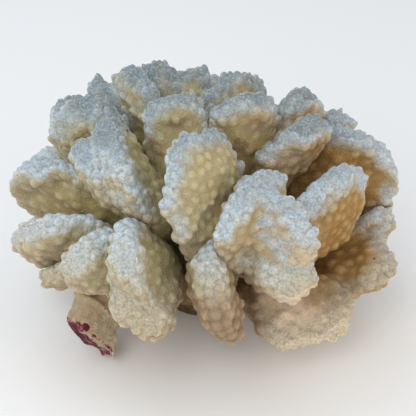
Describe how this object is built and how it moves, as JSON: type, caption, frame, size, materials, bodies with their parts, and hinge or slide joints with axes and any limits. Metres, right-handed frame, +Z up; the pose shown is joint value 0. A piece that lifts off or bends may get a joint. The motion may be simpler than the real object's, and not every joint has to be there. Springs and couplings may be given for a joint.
{
  "type": "cauliflower coral",
  "caption": "Cleaned cauliflower coral skeleton: stout flattened knobbly branches radiating from a short cut-off base it rests on.",
  "frame": {"origin": "centre of the flat cut face under the holdfast, where the coral was cut from the rock", "axes": "+Z up, out of the cut and towards the crown; -Y is the front of the coral, +X its right side as seen from the front"},
  "size_m": [0.1868, 0.1864, 0.1277],
  "materials": {
    "coral_skeleton": null,
    "coral_base": null
  },
  "bodies": {
    "root": {"holdfast": "coral_base", "top_branch": "coral_skeleton", "top_right_branch": "coral_skeleton", "top_left_branch": "coral_skeleton", "back_crown_branch": "coral_skeleton", "centre_front_branch": "coral_skeleton", "left_crown_branch": "coral_skeleton", "left_shoulder_branch": "coral_skeleton", "left_wing": "coral_skeleton", "left_lower_wing": "coral_skeleton", "left_front_branch": "coral_skeleton", "front_left_branch": "coral_skeleton", "front_branch": "coral_skeleton", "front_right_branch": "coral_skeleton", "lower_right_fan": "coral_skeleton", "right_crown_branch": "coral_skeleton", "right_shoulder_branch": "coral_skeleton", "right_front_branch": "coral_skeleton", "right_wing": "coral_skeleton", "stub_branch": "coral_skeleton", "back_branch": "coral_skeleton", "back_right_branch": "coral_skeleton", "right_back_wing": "coral_skeleton", "back_left_branch": "coral_skeleton", "left_back_wing": "coral_skeleton", "lower_back_branch": "coral_skeleton"}
  },
  "joints": []
}
